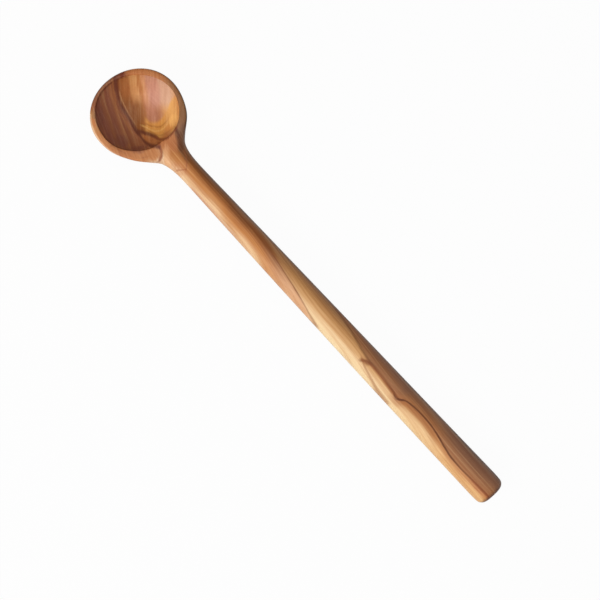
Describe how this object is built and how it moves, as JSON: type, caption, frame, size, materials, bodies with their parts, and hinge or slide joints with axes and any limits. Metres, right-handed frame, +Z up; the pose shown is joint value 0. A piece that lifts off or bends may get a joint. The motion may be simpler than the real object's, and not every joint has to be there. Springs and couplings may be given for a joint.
{
  "type": "wooden spoon",
  "caption": "Long-handled wooden spoon with a small round bowl, carved from solid olive wood, for stirring and tasting.",
  "frame": {"origin": "middle of the spoon's box, on the surface that it rests on with its hollow upwards", "axes": "+X along the handle from the bowl to the handle's end, +Z up out of the hollow, +Y to the left of the handle seen from above with the handle's end ahead"},
  "size_m": [0.305, 0.0506, 0.0175],
  "materials": {
    "olive_wood": "sanded smooth and oiled, satin, with dark wavy figure"
  },
  "bodies": {
    "root": {"spoon": "olive_wood"}
  },
  "joints": []
}
